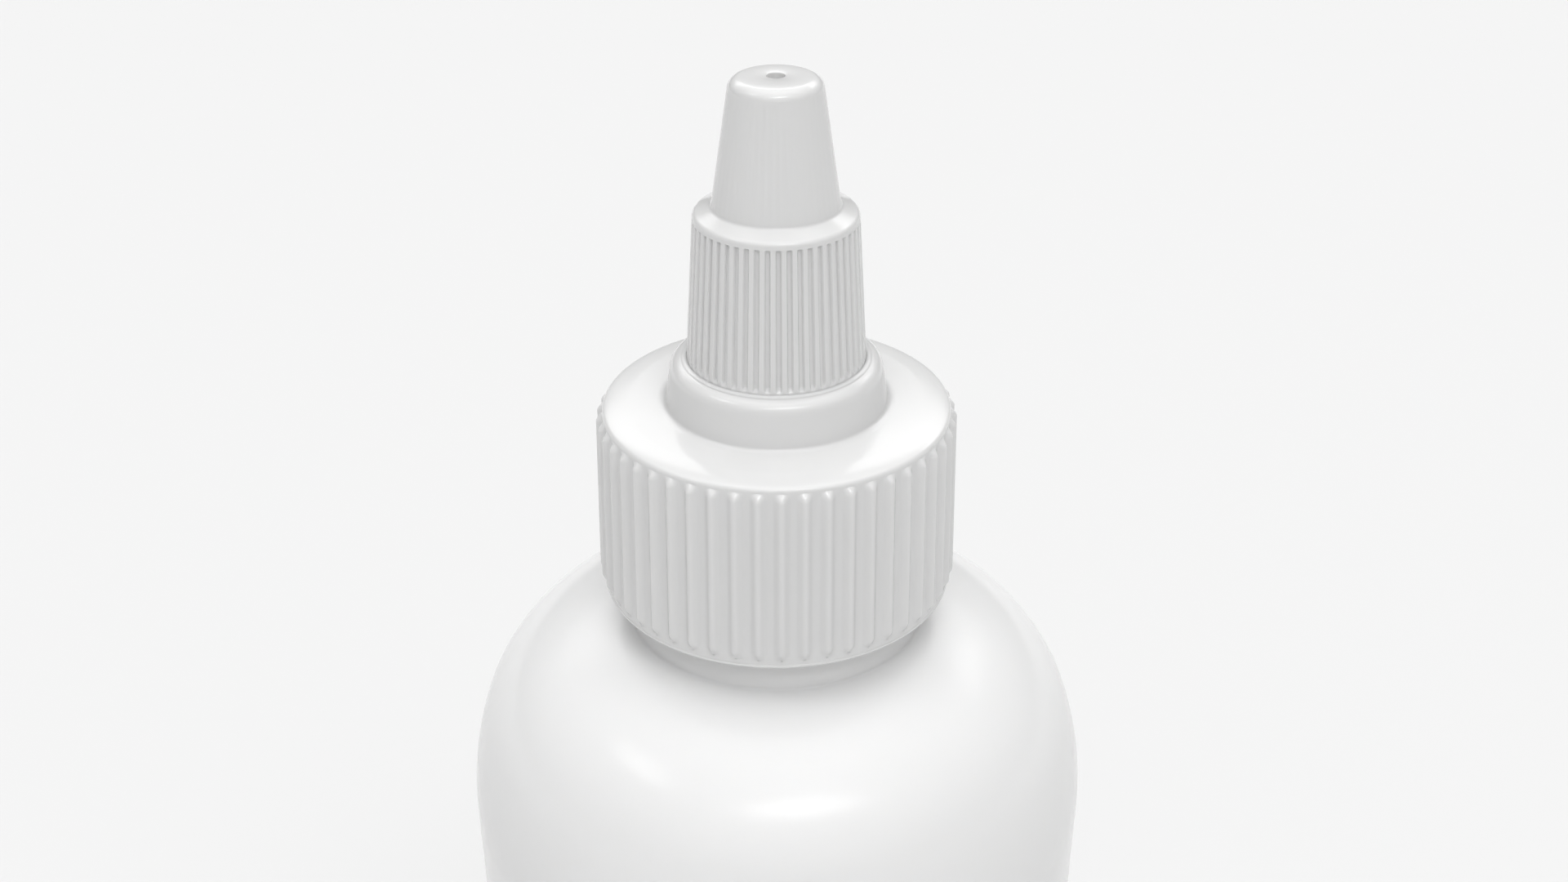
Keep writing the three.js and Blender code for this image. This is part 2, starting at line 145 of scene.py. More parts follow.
DECK_DISH = 0.02  # how far below that the deck lies at the edge of its level part
DECK_DIP = 0.03  # and at the foot of the boss's fillet
DECK_UNDERSIDE = SKIRT_Z + 14.43
BOSS_FOOT = 8.5
BOSS_RIM = 8.15
BOSS_FILLET = 0.35
BOSS_EDGE = 1
BOSS_GAP = 0.04  # between the boss's top and the spout's foot
BOSS_Z = SPOUT_Z - BOSS_GAP
SEAT_GAP = 0.03  # between the spout's foot and the shallow seat it stands in
SEAT_LIP = 0.1  # height of that seat's lip above the spout's foot
SEAT_FILLET = 0.4
BOSS_HOLLOW = 6.9
BOSS_ROOF = SKIRT_Z + 17.8
TOWER_ROOT = 4
TOWER_THREAD = 4.75
TOWER_BARREL = 3.8
TOWER_BORE = 3
TOWER_TOP_Z = SPOUT_Z + 11.5
TOWER_STEP = SKIRT_Z + 25.3
SPIDER_HEIGHT = 1.6
SPOKE_COUNT = 3
SPOKE_WIDTH = 1
PIN_RADIUS = 1.3
PIN_TIP_RADIUS = 0.4
PIN_EDGE = 0.1  # rounding of the pin's tip
PIN_TOP = closure_high.z

# ---------------------------------------------------------------- sizes of the spout

SPOUT_THREAD_GAP = 0.3
SPOUT_BORE = TOWER_THREAD + SPOUT_THREAD_GAP
SPOUT_THREAD = TOWER_ROOT + SPOUT_THREAD_GAP
SPOUT_RIDGE = (1.1, 0.6)
GRIP_TAPER = 3.31
GRIP_HEIGHT = 11.35
GRIP_EDGE = 0.45
SPOUT_SHOULDER_SLOPE = 22
CONE_FOOT_HEIGHT = 12.2
CONE_FOOT = 4.76
CONE_TAPER = 8.28
CONE_FILLET = 0.2  # where the cone meets the spout's shoulder
TIP_EDGE = 0.92
TIP_EDGE_END = 88  # where that rounding passes into the tip's crown, in degrees
TIP_CROWN = 0.09
ORIFICE = 0.66
SEAT_RADIUS = 2.2
SEAT_HEIGHT = 1.6
ORIFICE_DEPTH = 1.3
NOSE_BORE = 3.55
BARREL_BORE = 4.1
BARREL_SHOULDER = 0.6
FLUTE_SHARE = 0.6  # share of the pitch that a flute takes
FLUTE_LEVEL = 0.45  # share of a flute's width that is level
FLUTE_DEPTH = 0.24
FLUTE_LOW = 0.16
FLUTE_HIGH = 11.2
FLUTE_FOOT_RAMP = 0.5  # height over which a flute deepens from its foot
FLUTE_TOP_RAMP = 0.25  # and from its top
FLUTE_RINGS = [3, 5.5, 8]  # heights of the mesh rings along the straight part of the flutes
FOOT_EDGE = 0.03
SPOUT_LEAD = 4.8
SPOUT_STARTS = 2
SPOUT_RIDGE_TURNS = 0.83
TOWER_THREAD_LOW = SKIRT_Z + 20.3
SEAL_GAP = 0.1
GLAND_GRIP = 0.35  # how far the lip under the ring reaches in
GLAND_LIP = 0.5

# ---------------------------------------------------------------- fineness of the meshes

BODY_COLUMNS = 192
SEAL_COLUMNS = 128  # round the liner and the seal ring
PIN_COLUMNS = 64
BAR_STEPS = 12  # across one rib or flute
RIDGE_STEPS = 72  # along one turn of a thread
ON_AXIS = 1e-6  # a smaller radius is on the axis
MERGE = 1e-5  # points closer than this are one
SHARP_ANGLE = 35  # degrees; flatter edges are shaded smooth

# ---------------------------------------------------------------- outlines


def arc(centre, radius, start, end, steps):
    """Outline points round a centre, with angles in degrees from the radial direction."""
    angles = [math.radians(start + (end - start) * i / steps) for i in range(steps + 1)]
    return [(centre[0] + radius * math.cos(a), centre[1] + radius * math.sin(a)) for a in angles]


def bend(start, towards, end, steps):
    """Outline points along a curve from one point to another that heads for a third."""
    points = []
    for i in range(steps + 1):
        t = i / steps
        weights = ((1 - t) ** 2, 2 * t * (1 - t), t**2)
        points.append(tuple(sum(w * p[k] for w, p in zip(weights, (start, towards, end))) for k in (0, 1)))
    return points


def tangent(degrees):
    return math.tan(math.radians(degrees))


# ---------------------------------------------------------------- meshes


def even_columns(count):
    """Bearings of evenly spaced columns, each with no relief."""
    return [(2 * math.pi * i / count, 0) for i in range(count)]


def bar_columns(share, level):
    """Bearings of columns round ribs or flutes, and how far up their profile each one lies.

    The profile takes a share of the pitch, and its middle part is level for a share of its width.
    """
    columns = []
    for i in range(RIB_COUNT):
        for k in range(BAR_STEPS + 1):
            across = 2 * k / BAR_STEPS - 1
            side = max(0, abs(across) - level) / (1 - level)
            columns.append((PITCH * (i + share * across / 2), (1 + math.cos(math.pi * side)) / 2))
        columns.append((PITCH * (i + 0.5), 0))
    return columns


def swell(value, start, ramp, softness=1):
    """0 at the start and 1 a ramp further on, rounding over, and softer at the start if above 1."""
    t = max(0, min(1, (value - start) / ramp))
    return math.sin(math.pi / 2 * t) ** softness


def raised(points, foot, top, proud):
    """Outline points with how proud the bars stand there.

    The foot and the top are each (height, ramp) or (height, ramp, softness).
    """
    return [(r, z, proud * swell(z, *foot) * swell(z, *top)) for r, z in points]


def sweep(mesh, outline, columns):
    """Adds the closed surface that an outline sweeps round the axis.

    An outline point is (radius, height), or (radius, height, proud) where bars stand out there.
    """
    rings = []
    for radius, z, *relief in outline:
        proud = relief[0] if relief else 0
        if radius < ON_AXIS:
            rings.append([mesh.verts.new((0, 0, z))] * len(columns))
            continue
        ring = []
        for angle, lift in columns:
            reach = radius + proud * lift
            ring.append(mesh.verts.new((reach * math.sin(angle), -reach * math.cos(angle), z)))
        rings.append(ring)
    for lower, upper in zip(rings, rings[1:] + rings[:1]):
        for i in range(len(columns)):
            j = (i + 1) % len(columns)
            corners = [lower[i], lower[j], upper[j], upper[i]]
            corners = [v for k, v in enumerate(corners) if v is not corners[k - 1]]
            if len(corners) > 2:
                mesh.faces.new(corners)


def loft(mesh, rings):
    """Adds a closed solid through matching rings of points, capped at both ends."""
    made = [[mesh.verts.new(p) for p in ring] for ring in rings]
    for lower, upper in zip(made, made[1:]):
        for i in range(len(lower)):
            j = (i + 1) % len(lower)
            mesh.faces.new([lower[i], lower[j], upper[j], upper[i]])
    mesh.faces.new(list(reversed(made[0])))
    mesh.faces.new(made[-1])


def ridge(mesh, wall, crest, low, angle, lead, turns, base, top):
    """Adds a helical ridge, right-handed, that climbs from `low` and fades out at both ends."""
    outward = math.copysign(1, crest - wall)
    root = wall - outward * EMBED
    steps = round(turns * RIDGE_STEPS)
    rings = []
    for i in range(steps + 1):
        turn = turns * i / steps
        fade = max(0, min(1, turn / RUN_OUT, (turns - turn) / RUN_OUT))
        fade = math.sin(fade * math.pi / 2)
        height = low + lead * turn
        crest_here = root + outward * EMBED / 2 + (crest - root - outward * EMBED / 2) * fade
        soft = RIDGE_SOFTNESS * abs(crest_here - root)
        section = [(root, -base / 2), (crest_here - outward * soft, -top / 2 - RIDGE_BEVEL)]
        section += [(crest_here, -top / 2 + RIDGE_BEVEL), (crest_here, top / 2 - RIDGE_BEVEL)]
        section += [(crest_here - outward * soft, top / 2 + RIDGE_BEVEL), (root, base / 2)]
        if outward < 0:
            section.reverse()
        bearing = math.radians(angle) + 2 * math.pi * turn
        east, north = math.sin(bearing), -math.cos(bearing)
        rings.append([Vector((r * east, r * north, height + z)) for r, z in section])
    loft(mesh, rings)


def finish_piece(name, mesh, material, body, node):
    """Makes the object in metres, with clean normals, on its CAD body and in place of its CAD node."""
    bmesh.ops.remove_doubles(mesh, verts=mesh.verts, dist=MERGE)
    bmesh.ops.recalc_face_normals(mesh, faces=mesh.faces)
    bmesh.ops.scale(mesh, vec=(MM, MM, MM), verts=mesh.verts)
    data = bpy.data.meshes.new(name)
    mesh.to_mesh(data)
    mesh.free()
    data.materials.append(material)
    data.shade_smooth()
    data.set_sharp_from_angle(angle=math.radians(SHARP_ANGLE))
    piece = bpy.data.objects.new(name, data)
    bpy.context.scene.collection.objects.link(piece)
    weighted = piece.modifiers.new("even_shading", "WEIGHTED_NORMAL")
    weighted.keep_sharp = True
    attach(piece, body)
    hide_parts(node)


# ---------------------------------------------------------------- the pieces


def bottle(material):
    """Blow-moulded body, dome shoulder and threaded neck, hollow and open at the mouth."""
    dome = (
        NECK_THREAD - SHOULDER_RADIUS * math.sin(math.radians(SHOULDER_START)),
        SHOULDER_Z - SHOULDER_RADIUS * math.cos(math.radians(SHOULDER_START)),
    )
    step = SHOULDER_RADIUS - HAUNCH_RADIUS
    haunch = (
        dome[0] + step * math.sin(math.radians(SHOULDER_END)),
        dome[1] + step * math.cos(math.radians(SHOULDER_END)),
    )
    wall_radius = haunch[0] + HAUNCH_RADIUS - (haunch[1] - HEEL_RADIUS) * tangent(BODY_TAPER)
    heel = (wall_radius - HEEL_RADIUS, HEEL_RADIUS)
    ring_inner = heel[0] - RING_WIDTH
    level = ring_inner * PUSH_UP_SPREAD
    collar_top = SHOULDER_Z + COLLAR_HEIGHT
    fillet_low = (NECK_THREAD + NECK_FILLET, SHOULDER_Z)
    fillet_high = (NECK_THREAD, SHOULDER_Z + NECK_FILLET)
    dome_from, dome_to = 90 - SHOULDER_END, 90 - SHOULDER_START
    bore_end = (NECK_BORE, collar_top - COLLAR_HEIGHT / 2)
    inner_dome = arc(dome, SHOULDER_RADIUS - BOTTLE_WALL, dome_from, DOME_INSIDE_END, 16)
    outline = [
        *bend((0, PUSH_UP), (level, PUSH_UP), (ring_inner, 0), 12),
        *arc(heel, HEEL_RADIUS, -90, -BODY_TAPER, 12),
        *arc(haunch, HAUNCH_RADIUS, -BODY_TAPER, dome_from, 14),
        *arc(dome, SHOULDER_RADIUS, dome_from, dome_to, 40)[1:-1],
        *bend(fillet_low, (NECK_THREAD, SHOULDER_Z), fillet_high, 5),
        *arc((NECK_THREAD - ROUND_EDGE, collar_top - ROUND_EDGE), ROUND_EDGE, 0, 90, 4),
        (NECK_ROOT, collar_top + COLLAR_SLOPE),
        *arc((NECK_ROOT - ROUND_EDGE, LAND_Z - ROUND_EDGE), ROUND_EDGE, 0, 90, 4),
        *arc((NECK_BORE + CHAMFER, LAND_Z - CHAMFER), CHAMFER, 90, 180, 4),
        *bend(bore_end, (NECK_BORE, inner_dome[-1][1]), inner_dome[-1], 6),
        *inner_dome[-2::-1],
        *arc(haunch, HAUNCH_RADIUS - BOTTLE_WALL, dome_from, -BODY_TAPER, 8)[1:],
        *arc(heel, HEEL_RADIUS - BOTTLE_WALL, -BODY_TAPER, HEEL_INSIDE_END, 8),
        *bend((ring_inner, BOTTLE_WALL), (level, PUSH_UP + BOTTLE_WALL), (0, PUSH_UP + BOTTLE_WALL), 12),
    ]
    mesh = bmesh.new()
    sweep(mesh, outline, even_columns(BODY_COLUMNS))
    ridge(mesh, NECK_ROOT, NECK_THREAD, NECK_THREAD_LOW, 0, NECK_PITCH, NECK_TURNS, *NECK_RIDGE)
    finish_piece("bottle_body", mesh, material, "bottle", "bottle")


def liner(material):
    """Foam gasket between the sealing land and the deck, with softened edges."""
    inner, outer, edge = NECK_BORE, liner_high.x, LINER_EDGE
    low, high = liner_low.z, liner_high.z
    outline = [
        *arc((outer - edge, low + edge), edge, -90, 0, 3),
        *arc((outer - edge, high - edge), edge, 0, 90, 3),
        *arc((inner + edge, high - edge), edge, 90, 180, 3),
        *arc((inner + edge, low + edge), edge, 180, 270, 3),
    ]
    mesh = bmesh.new()
    sweep(mesh, outline, even_columns(SEAL_COLUMNS))
    finish_piece("liner_disc", mesh, material, "liner", "liner")


def skirt_wall():
    """The outer wall of the skirt from its lower edge to the deck's rounded edge, with the ribs."""

    def wall(z):
        return SKIRT_BOTTOM + (SKIRT_TOP - SKIRT_BOTTOM) * z / SKIRT_HEIGHT, SKIRT_Z + z

    steps = 8
    heights = [RIB_LOW + RIB_FOOT_RAMP * i / steps for i in range(steps + 1)]
    heights += RIB_RINGS
    full = RIB_HIGH - RIB_TOP_RAMP
    heights += [full + (RIB_HIGH - full) * i / steps for i in range(steps + 1)]
    edge = (SKIRT_TOP - DECK_EDGE, DECK_EDGE_Z)
    rounding = arc(edge, DECK_EDGE, 0, 90 - DECK_SLOPE, 12)
    fall = (rounding[-1][0] - DECK_FALL, rounding[-1][1] + DECK_FALL * tangent(DECK_SLOPE))
    points = [
        *arc((SKIRT_BOTTOM + LIP - HAIR_EDGE, SKIRT_Z + HAIR_EDGE), HAIR_EDGE, -90, 60, 8),
        (SKIRT_BOTTOM, SKIRT_Z + 2 * HAIR_EDGE),
        *(wall(z) for z in heights),
        *rounding,
        *bend(rounding[-1], fall, (DECK_LEVEL, DECK_Z - DECK_DISH), 10)[1:],
    ]
    foot = (SKIRT_Z + RIB_LOW, RIB_FOOT_RAMP, RIB_FOOT_SOFTNESS)
    top = (SKIRT_Z + RIB_HIGH, -RIB_TOP_RAMP)
    return raised(points, foot, top, RIB_PROUD)


def closure_base(material):
    """Ribbed skirt, deck, boss and tower, with both threads and the sealing pin."""
    seat = GRIP_FOOT + SEAT_GAP
    deck_end = (BOSS_FOOT + 2 * BOSS_FILLET, DECK_Z - DECK_DIP)
    outline = [
        (SKIRT_BORE + CHAMFER, SKIRT_Z),
        *skirt_wall(),
        *bend(deck_end, (BOSS_FOOT, DECK_Z), (BOSS_FOOT, DECK_Z + BOSS_FILLET), 5),
        *arc((BOSS_RIM - BOSS_EDGE, BOSS_Z - BOSS_EDGE), BOSS_EDGE, 0, 90, 8),
        *bend((seat + SEAT_FILLET, BOSS_Z), (seat, BOSS_Z), (seat, SPOUT_Z + SEAT_LIP), 6),
        (seat, BOSS_Z),
        *bend((TOWER_ROOT + CHAMFER, BOSS_Z), (TOWER_ROOT, BOSS_Z), (TOWER_ROOT, BOSS_Z + CHAMFER), 3),
        (TOWER_ROOT, TOWER_STEP),
        (TOWER_BARREL, TOWER_STEP + TOWER_ROOT - TOWER_BARREL),
        *arc((TOWER_BARREL - CHAMFER, TOWER_TOP_Z - CHAMFER), CHAMFER, 0, 90, 4),
        (TOWER_BORE, TOWER_TOP_Z),
        (TOWER_BORE, BOSS_ROOF),
        *arc((BOSS_HOLLOW - ROUND_EDGE, BOSS_ROOF - ROUND_EDGE), ROUND_EDGE, 90, 0, 4),
        (BOSS_HOLLOW, DECK_UNDERSIDE),
        (SKIRT_BORE, DECK_UNDERSIDE),
        (SKIRT_BORE, SKIRT_Z + CHAMFER),
    ]
    mesh = bmesh.new()
    sweep(mesh, outline, bar_columns(RIB_SHARE, 0))
    beads(mesh)
    low = NECK_THREAD_LOW + NECK_PITCH / 2 - TURNS_BELOW * NECK_PITCH
    crest = NECK_ROOT + THREAD_GAP
    ridge(mesh, SKIRT_BORE, crest, low, -360 * TURNS_BELOW, NECK_PITCH, CLOSURE_TURNS, *NECK_RIDGE)
    for start in range(SPOUT_STARTS):
        angle = 360 * start / SPOUT_STARTS
        lead, turns = SPOUT_LEAD, SPOUT_RIDGE_TURNS
        ridge(mesh, TOWER_ROOT, TOWER_THREAD, TOWER_THREAD_LOW, angle, lead, turns, *SPOUT_RIDGE)
    pin(mesh)
    finish_piece("closure_cap", mesh, material, "closure_base", "closure_base")


def beads(mesh):
    """Adds the small round bead at the foot of each rib."""
    for i in range(RIB_COUNT):
        angle = PITCH * i
        reach = SKIRT_BOTTOM - BEAD / 2
        place = Matrix.Translation((reach * math.sin(angle), -reach * math.cos(angle), SKIRT_Z + BEAD_RISE))
        bmesh.ops.create_icosphere(mesh, subdivisions=2, radius=BEAD, matrix=place)


def pin(mesh):
    """Adds the pin that stops the orifice, and the spokes that hold it in the mouth of the tower."""
    slope = (SEAT_RADIUS - ORIFICE) / SEAT_HEIGHT
    shank = PIN_TOP - (PIN_RADIUS - PIN_TIP_RADIUS) / slope
    outline = [
        (0, TOWER_TOP_Z - SPIDER_HEIGHT),
        (PIN_RADIUS, TOWER_TOP_Z - SPIDER_HEIGHT),
        (PIN_RADIUS, shank),
        *arc((PIN_TIP_RADIUS - PIN_EDGE, PIN_TOP - PIN_EDGE), PIN_EDGE, 30, 90, 3),
        (0, PIN_TOP),
    ]
    sweep(mesh, outline, even_columns(PIN_COLUMNS))
    inner, outer, half = PIN_RADIUS / 2, TOWER_BORE + EMBED, SPOKE_WIDTH / 2
    for i in range(SPOKE_COUNT):
        turn = Matrix.Rotation(2 * math.pi * i / SPOKE_COUNT, 4, "Z")
        section = [(-half, -SPIDER_HEIGHT), (half, -SPIDER_HEIGHT), (half, 0), (-half, 0)]
        rings = [[turn @ Vector((x, y, TOWER_TOP_Z + z)) for x, z in section] for y in (inner, outer)]
        loft(mesh, rings)


def seal_ring(material):
    """Rubber ring of round section in the spout's gland."""
    radius = (ring_high.z - ring_low.z) / 2
    centre = (ring_high.x - radius, (ring_high.z + ring_low.z) / 2)
    mesh = bmesh.new()
    sweep(mesh, arc(centre, radius, 0, 360, 24)[:-1], even_columns(SEAL_COLUMNS))
    finish_piece("seal_o_ring", mesh, material, "seal_ring", "seal_ring")


def grip_wall():
    """The fluted wall of the spout's grip, from its foot to its shoulder."""

    def wall(z):
        return GRIP_FOOT - z * tangent(GRIP_TAPER), SPOUT_Z + z

    steps = 8
    heights = [FLUTE_LOW + FLUTE_FOOT_RAMP * i / steps for i in range(steps + 1)]
    heights += FLUTE_RINGS
    full = FLUTE_HIGH - FLUTE_TOP_RAMP
    heights += [full + (GRIP_HEIGHT - full) * i / steps for i in range(steps)]
    shoulder = (wall(GRIP_HEIGHT)[0] - GRIP_EDGE, SPOUT_Z + GRIP_HEIGHT)
    points = [
        (GRIP_FOOT - FOOT_EDGE, SPOUT_Z),
        (GRIP_FOOT, SPOUT_Z + FOOT_EDGE),
        *(wall(z) for z in heights),
        *arc(shoulder, GRIP_EDGE, GRIP_TAPER, 90 - SPOUT_SHOULDER_SLOPE, 10),
    ]
    foot = (SPOUT_Z + FLUTE_LOW, FLUTE_FOOT_RAMP)
    top = (SPOUT_Z + FLUTE_HIGH, -FLUTE_TOP_RAMP)
    return raised(points, foot, top, -FLUTE_DEPTH)


def spout(material):
    """Fluted grip and nose cone, with the orifice, the pin's seat, the gland and the thread."""
    tip_z = SPOUT_TOP_Z - TIP_CROWN - TIP_EDGE
    cone_at_tip = CONE_FOOT - (tip_z - SPOUT_Z - CONE_FOOT_HEIGHT) * tangent(CONE_TAPER)
    tip = (cone_at_tip - TIP_EDGE / math.cos(math.radians(CONE_TAPER)), tip_z)
    seat_top = SPOUT_TOP_Z - ORIFICE_DEPTH
    cone_foot_z = SPOUT_Z + CONE_FOOT_HEIGHT
    cone_foot = (CONE_FOOT, cone_foot_z)
    fillet_low = (CONE_FOOT + CONE_FILLET, cone_foot_z - CONE_FILLET * tangent(SPOUT_SHOULDER_SLOPE))
    fillet_high = (CONE_FOOT - CONE_FILLET * tangent(CONE_TAPER), cone_foot_z + CONE_FILLET)
    gland_low = ring_low.z - SEAL_GAP
    gland_high = ring_high.z + SEAL_GAP
    gland = ring_high.x + SEAL_GAP
    orifice_edge = HAIR_EDGE / 2
    outline = [
        (SPOUT_BORE + CHAMFER, SPOUT_Z),
        *grip_wall(),
        *bend(fillet_low, cone_foot, fillet_high, 4),
        *arc(tip, TIP_EDGE, CONE_TAPER, TIP_EDGE_END, 14),
        *arc((ORIFICE + orifice_edge, SPOUT_TOP_Z - orifice_edge), orifice_edge, 90, 180, 3),
        (ORIFICE, seat_top),
        (SEAT_RADIUS, seat_top - SEAT_HEIGHT),
        (NOSE_BORE, cone_foot_z),
        (BARREL_BORE, cone_foot_z - BARREL_SHOULDER),
        (BARREL_BORE, gland_high),
        (gland, gland_high),
        (gland, gland_low),
        (gland - GLAND_GRIP, gland_low),
        (gland - GLAND_GRIP, gland_low - GLAND_LIP),
        (SPOUT_BORE, gland_low - GLAND_LIP - CHAMFER),
        (SPOUT_BORE, SPOUT_Z + CHAMFER),
    ]
    mesh = bmesh.new()
    sweep(mesh, outline, bar_columns(FLUTE_SHARE, FLUTE_LEVEL))
    low = TOWER_THREAD_LOW + SPOUT_LEAD / SPOUT_STARTS / 2
    for start in range(SPOUT_STARTS):
        angle = 360 * start / SPOUT_STARTS
        ridge(mesh, SPOUT_BORE, SPOUT_THREAD, low, angle, SPOUT_LEAD, SPOUT_RIDGE_TURNS, *SPOUT_RIDGE)
    finish_piece("spout_nozzle", mesh, material, "spout", "spout")


# ---------------------------------------------------------------- materials


def new_material(name):
    """A material with a Principled shader, and what its nodes hang on."""
    material = bpy.data.materials.new(name)
    material.use_nodes = True
    tree = material.node_tree
    shader = tree.nodes["Principled BSDF"]
    place = tree.nodes.new("ShaderNodeTexCoord").outputs["Object"]
    return material, tree, shader, place


def noise(tree, place, size_mm, detail):
    """Noise with features of about this size, 0 to 1."""
    node = tree.nodes.new("ShaderNodeTexNoise")
    node.inputs["Scale"].default_value = 1 / (size_mm * MM)
    node.inputs["Detail"].default_value = detail
    tree.links.new(place, node.inputs["Vector"])
    return node.outputs["Fac"]


def spread(tree, value, low, high):
    """A noise value spread over another range; most noise lies between 0.3 and 0.7."""
    node = tree.nodes.new("ShaderNodeMapRange")
    node.inputs["From Min"].default_value = 0.3
    node.inputs["From Max"].default_value = 0.7
    node.inputs["To Min"].default_value = low
    node.inputs["To Max"].default_value = high
    tree.links.new(value, node.inputs["Value"])
    return node.outputs["Result"]


def two_tone(tree, shader, value, first, second):
    """Colours the surface between two tones, by a 0 to 1 value."""
    node = tree.nodes.new("ShaderNodeMix")
    node.data_type = "RGBA"
    node.inputs["A"].default_value = (*first, 1)
    node.inputs["B"].default_value = (*second, 1)
    tree.links.new(value, node.inputs["Factor"])
    tree.links.new(node.outputs["Result"], shader.inputs["Base Color"])


def bump(tree, shader, height, depth_mm, strength):
    """Roughens the surface by a height pattern of this depth."""
    node = tree.nodes.new("ShaderNodeBump")
    node.inputs["Strength"].default_value = strength
    node.inputs["Distance"].default_value = depth_mm * MM
    tree.links.new(height, node.inputs["Height"])
    tree.links.new(node.outputs["Normal"], shader.inputs["Normal"])


def closure_plastic():
    """White injection-moulded polypropylene, satin, with a faint mould texture."""
    material, tree, shader, place = new_material("closure_polypropylene")
    cloud = noise(tree, place, 9, 3)
    two_tone(tree, shader, cloud, (0.695, 0.695, 0.693), (0.71, 0.71, 0.708))
    tree.links.new(spread(tree, noise(tree, place, 3, 4), 0.12, 0.16), shader.inputs["Roughness"])
    shader.inputs["IOR"].default_value = 1.49
    shader.inputs["Subsurface Weight"].default_value = 0.25
    shader.inputs["Subsurface Radius"].default_value = (1, 0.97, 0.93)
    shader.inputs["Subsurface Scale"].default_value = 0.5 * MM
    bump(tree, shader, noise(tree, place, 0.35, 2), 0.0006, 0.5)
    return material


def bottle_plastic():
    """White blow-moulded polyethylene, satin, with the slight waviness of a blown wall."""
    material, tree, shader, place = new_material("bottle_polyethylene")
    cloud = noise(tree, place, 22, 3)
    two_tone(tree, shader, cloud, (0.785, 0.785, 0.783), (0.80, 0.80, 0.798))
    tree.links.new(spread(tree, noise(tree, place, 6, 4), 0.16, 0.2), shader.inputs["Roughness"])
    shader.inputs["IOR"].default_value = 1.51
    shader.inputs["Specular IOR Level"].default_value = 0.3
    shader.inputs["Subsurface Weight"].default_value = 0.5
    shader.inputs["Subsurface Radius"].default_value = (1, 0.97, 0.93)
    shader.inputs["Subsurface Scale"].default_value = 1.5 * MM
    bump(tree, shader, noise(tree, place, 1.6, 3), 0.002, 0.5)
    return material


def liner_foam():
    """Fine-celled polyethylene foam."""
    material, tree, shader, place = new_material("liner_foam")
    cells = tree.nodes.new("ShaderNodeTexVoronoi")
    cells.inputs["Scale"].default_value = 1 / (0.25 * MM)
    tree.links.new(place, cells.inputs["Vector"])
    cloud = noise(tree, place, 4, 3)
    two_tone(tree, shader, cloud, (0.86, 0.855, 0.83), (0.90, 0.895, 0.875))
    tree.links.new(spread(tree, noise(tree, place, 0.6, 2), 0.75, 0.9), shader.inputs["Roughness"])
    bump(tree, shader, cells.outputs["Distance"], 0.05, 0.6)
    return material


def seal_rubber():
    """Pale grey silicone rubber."""
    material, tree, shader, place = new_material("seal_silicone")
    cloud = noise(tree, place, 2, 3)
    two_tone(tree, shader, cloud, (0.62, 0.62, 0.61), (0.68, 0.68, 0.67))
    tree.links.new(spread(tree, noise(tree, place, 0.5, 3), 0.5, 0.65), shader.inputs["Roughness"])
    bump(tree, shader, noise(tree, place, 0.12, 2), 0.004, 0.5)
    return material


# ---------------------------------------------------------------- stage, light and camera

FLOOR_SIZE = 60  # metres, so that its far edge stays out of the views from above
ZENITH_GATHER = 4  # power that gathers the overhead light towards the zenith
VIEW_ANGLE = 45  # degrees across the frame


def floor():
    """A plain pale floor under the bottle."""
    bpy.ops.mesh.primitive_plane_add(size=FLOOR_SIZE)
    plane = bpy.context.object
    plane.name = "floor"
    material, _, shader, _ = new_material("floor_paper")
    shader.inputs["Base Color"].default_value = (0.69, 0.69, 0.69, 1)
    shader.inputs["Roughness"].default_value = 0.9
    shader.inputs["Specular IOR Level"].default_value = 0.1
    plane.data.materials.append(material)


def direction(azimuth, elevation):
    """Unit vector towards a bearing, with azimuth 0 at -Y and 90 at +X, in degrees."""
    a, e = math.radians(azimuth), math.radians(elevation)
    return Vector((math.sin(a) * math.cos(e), -math.cos(a) * math.cos(e), math.sin(e)))


def calculate(tree, operation, *values):
    """The result of one sum on numbers and node outputs."""
    node = tree.nodes.new("ShaderNodeMath")
    node.operation = operation
    for socket, value in zip(node.inputs, values):
        if isinstance(value, (int, float)):
            socket.default_value = value
        else:
            tree.links.new(value, socket)
    return node.outputs["Value"]


def glow(tree, place, azimuth, elevation, width, height, strength):
    """A soft-edged oval of light in the surround, like a diffused lamp; sizes in degrees."""
    node = tree.nodes.new("ShaderNodeMapping")
    node.vector_type = "TEXTURE"
    node.inputs["Rotation"].default_value = direction(azimuth, elevation).to_track_quat("Z", "Y").to_euler()
    reach = [math.sin(math.radians(angle / 2)) for angle in (width, height)]
    node.inputs["Scale"].default_value = (*reach, 1)
    tree.links.new(place, node.inputs["Vector"])
    parts = tree.nodes.new("ShaderNodeSeparateXYZ")
    tree.links.new(node.outputs["Vector"], parts.inputs["Vector"])
    sideways = calculate(tree, "POWER", calculate(tree, "ABSOLUTE", parts.outputs["X"]), 2)
    upward = calculate(tree, "POWER", calculate(tree, "ABSOLUTE", parts.outputs["Y"]), 2)
    fade = tree.nodes.new("ShaderNodeMapRange")
    fade.interpolation_type = "SMOOTHSTEP"
    fade.inputs["From Min"].default_value = 1
    fade.inputs["From Max"].default_value = 0
    fade.inputs["To Max"].default_value = strength
    tree.links.new(calculate(tree, "ADD", sideways, upward), fade.inputs["Value"])
    facing = calculate(tree, "GREATER_THAN", parts.outputs["Z"], 0)
    return calculate(tree, "MULTIPLY", fade.outputs["Result"], facing)


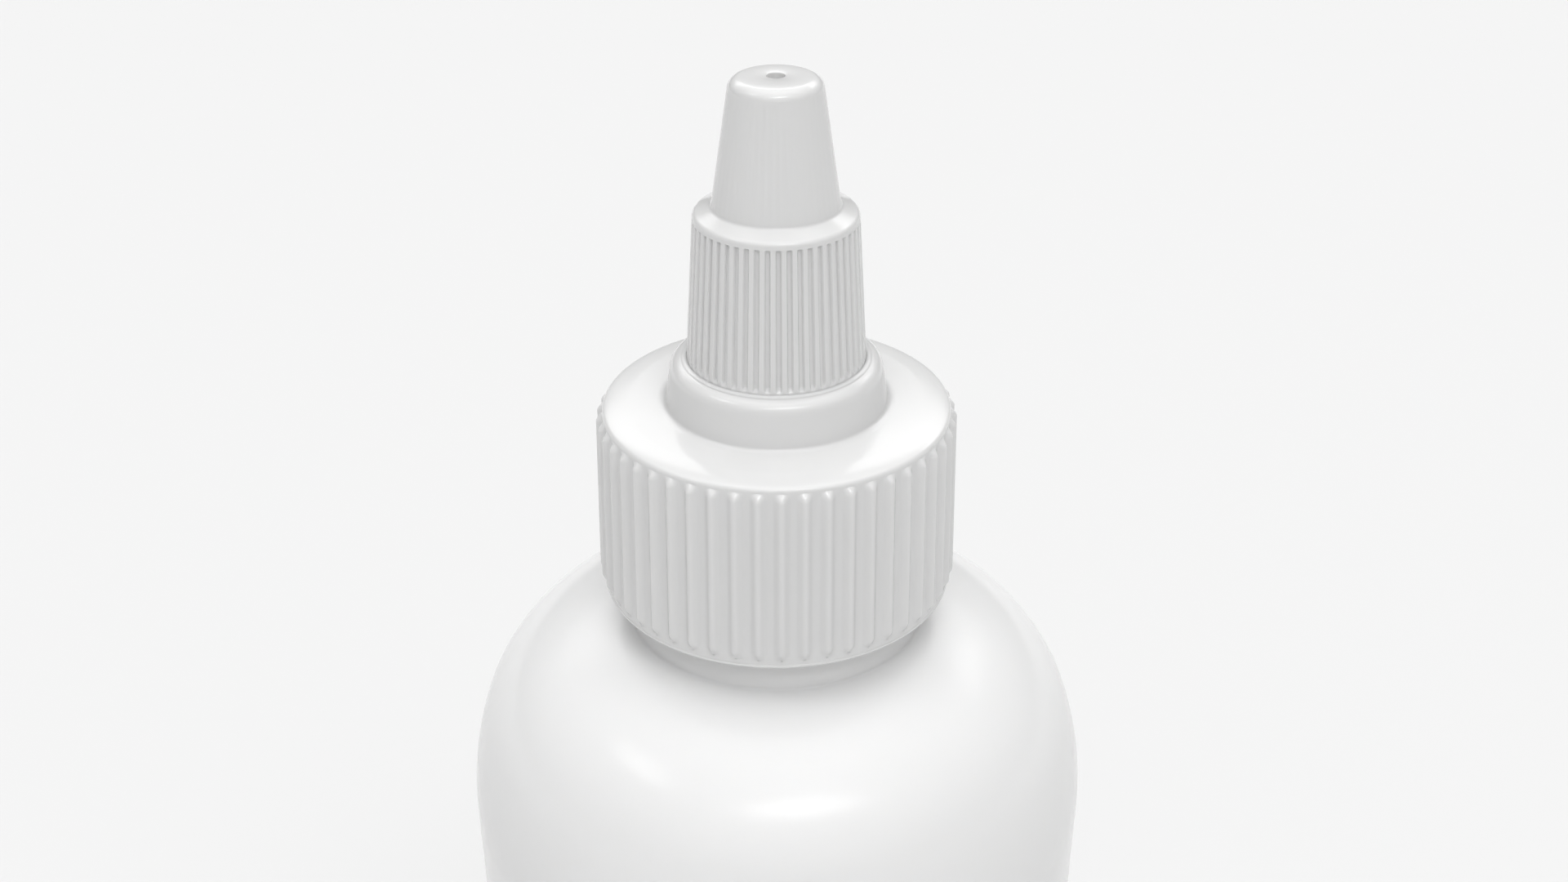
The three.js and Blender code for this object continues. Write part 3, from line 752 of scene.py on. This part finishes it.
def world(zenith, glows):
    """Light that gathers overhead, with glows of (azimuth, elevation, width, height, strength)."""
    surround = bpy.data.worlds.new("studio")
    bpy.context.scene.world = surround
    surround.use_nodes = True
    tree = surround.node_tree
    background = tree.nodes["Background"]
    place = tree.nodes.new("ShaderNodeTexCoord").outputs["Generated"]
    parts = tree.nodes.new("ShaderNodeSeparateXYZ")
    tree.links.new(place, parts.inputs["Vector"])
    upward = calculate(tree, "MAXIMUM", parts.outputs["Z"], 0)
    light = calculate(tree, "MULTIPLY", calculate(tree, "POWER", upward, ZENITH_GATHER), zenith)
    for oval in glows:
        light = calculate(tree, "ADD", light, glow(tree, place, *oval))
    tree.links.new(light, background.inputs["Strength"])
    background.inputs["Color"].default_value = (1, 1, 1, 1)


def camera():
    """The camera, above the cap and looking down on it, with the body running out of the frame."""
    azimuth, pitch = -1.7, 29.23  # degrees; the pitch is downwards
    distance, rise, shift = 153.0, 10.27, 0.57  # from the centre of the skirt's lower edge
    data = bpy.data.cameras.new("camera")
    data.angle = math.radians(VIEW_ANGLE)
    data.clip_start = 0.01  # metres
    data.clip_end = 50
    eye = bpy.data.objects.new("camera", data)
    tilt = Matrix.Rotation(math.radians(90 - pitch), 3, "X")
    turn = Matrix.Rotation(math.radians(azimuth), 3, "Z") @ tilt
    eye.location = (Vector((0, 0, SKIRT_Z)) + turn @ Vector((shift, rise, distance))) * MM
    eye.rotation_euler = turn.to_euler()
    bpy.context.scene.collection.objects.link(eye)
    bpy.context.scene.camera = eye


# ---------------------------------------------------------------- the whole

cap_white = closure_plastic()
bottle(bottle_plastic())
liner(liner_foam())
closure_base(cap_white)
seal_ring(seal_rubber())
spout(cap_white)

floor()
world(
    zenith=2.57,
    glows=[
        (8, 38, 130, 80, 0.74),  # broad light from the front
        (10, 50, 50, 16, 6.0),  # lamp in front
        (-76, 49, 34, 16, 3.6),  # lamp on the left
        (135, 37, 34, 16, 2.4),  # lamp behind on the right
        (180, 36, 110, 26, 2.2),  # strip behind
    ],
)
camera()
bpy.context.scene.view_settings.view_transform = "Standard"
